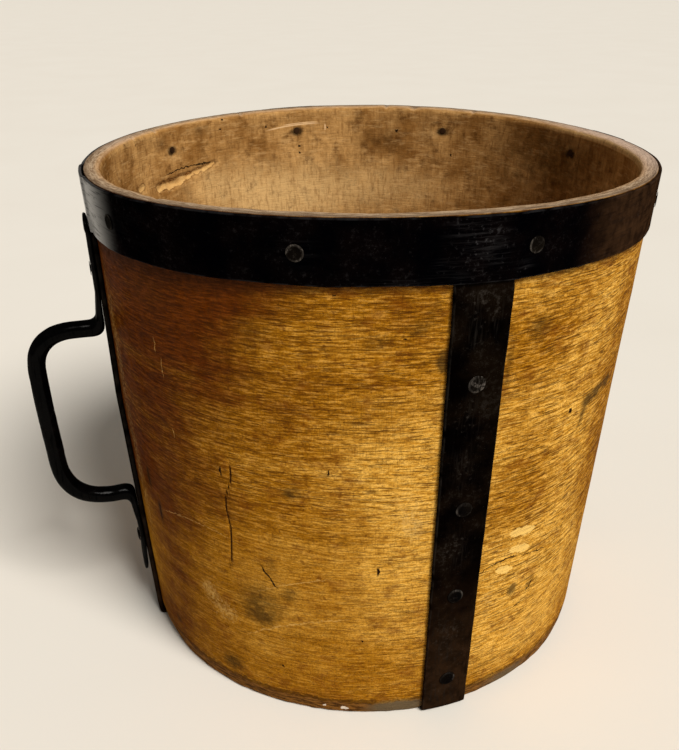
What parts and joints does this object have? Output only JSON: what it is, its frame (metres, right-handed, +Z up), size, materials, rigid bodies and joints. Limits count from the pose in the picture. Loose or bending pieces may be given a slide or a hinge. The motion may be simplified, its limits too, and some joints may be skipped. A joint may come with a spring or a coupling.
{
  "type": "grain measure",
  "caption": "Slightly conical bentwood vessel with a round base, bound by an iron rim band and straps, with one forged iron side handle; holds and measures dry grain.",
  "frame": {"origin": "middle of the vessel's underside, on the surface it stands on", "axes": "+Z up the vessel's axis, -X towards the handle, -Y towards the strap over the scarf"},
  "size_m": [0.3458, 0.3123, 0.2778],
  "materials": {
    "oiled_beech": "oiled, semi-gloss, worn",
    "bare_beech": "bare, dull",
    "blacked_iron": "blacked, slightly glossy",
    "worn_iron": "dark, rubbed"
  },
  "bodies": {
    "root": {"bentwood_wall": "oiled_beech", "base_board": "bare_beech", "rim_band": "blacked_iron", "handle": "blacked_iron", "strap_front": "blacked_iron", "strap_handle_side": "blacked_iron", "strap_opposite": "blacked_iron", "strap_rear": "blacked_iron", "band_rivet_1": "worn_iron", "band_rivet_2": "worn_iron", "band_rivet_3": "worn_iron", "band_rivet_4": "worn_iron", "band_rivet_5": "worn_iron", "band_rivet_6": "worn_iron", "band_rivet_7": "worn_iron", "band_rivet_8": "worn_iron", "strap_front_rivet_1": "worn_iron", "strap_front_rivet_2": "worn_iron", "strap_front_rivet_3": "worn_iron", "strap_front_rivet_4": "worn_iron", "strap_opposite_rivet_1": "worn_iron", "strap_opposite_rivet_2": "worn_iron", "strap_opposite_rivet_3": "worn_iron", "strap_opposite_rivet_4": "worn_iron", "strap_rear_rivet_1": "worn_iron", "strap_rear_rivet_2": "worn_iron", "strap_rear_rivet_3": "worn_iron", "strap_rear_rivet_4": "worn_iron", "handle_upper_rivet": "worn_iron", "handle_lower_rivet": "worn_iron", "strap_front_foot_nail": "worn_iron", "strap_handle_side_foot_nail": "worn_iron", "strap_opposite_foot_nail": "worn_iron", "strap_rear_foot_nail": "worn_iron"}
  },
  "joints": []
}
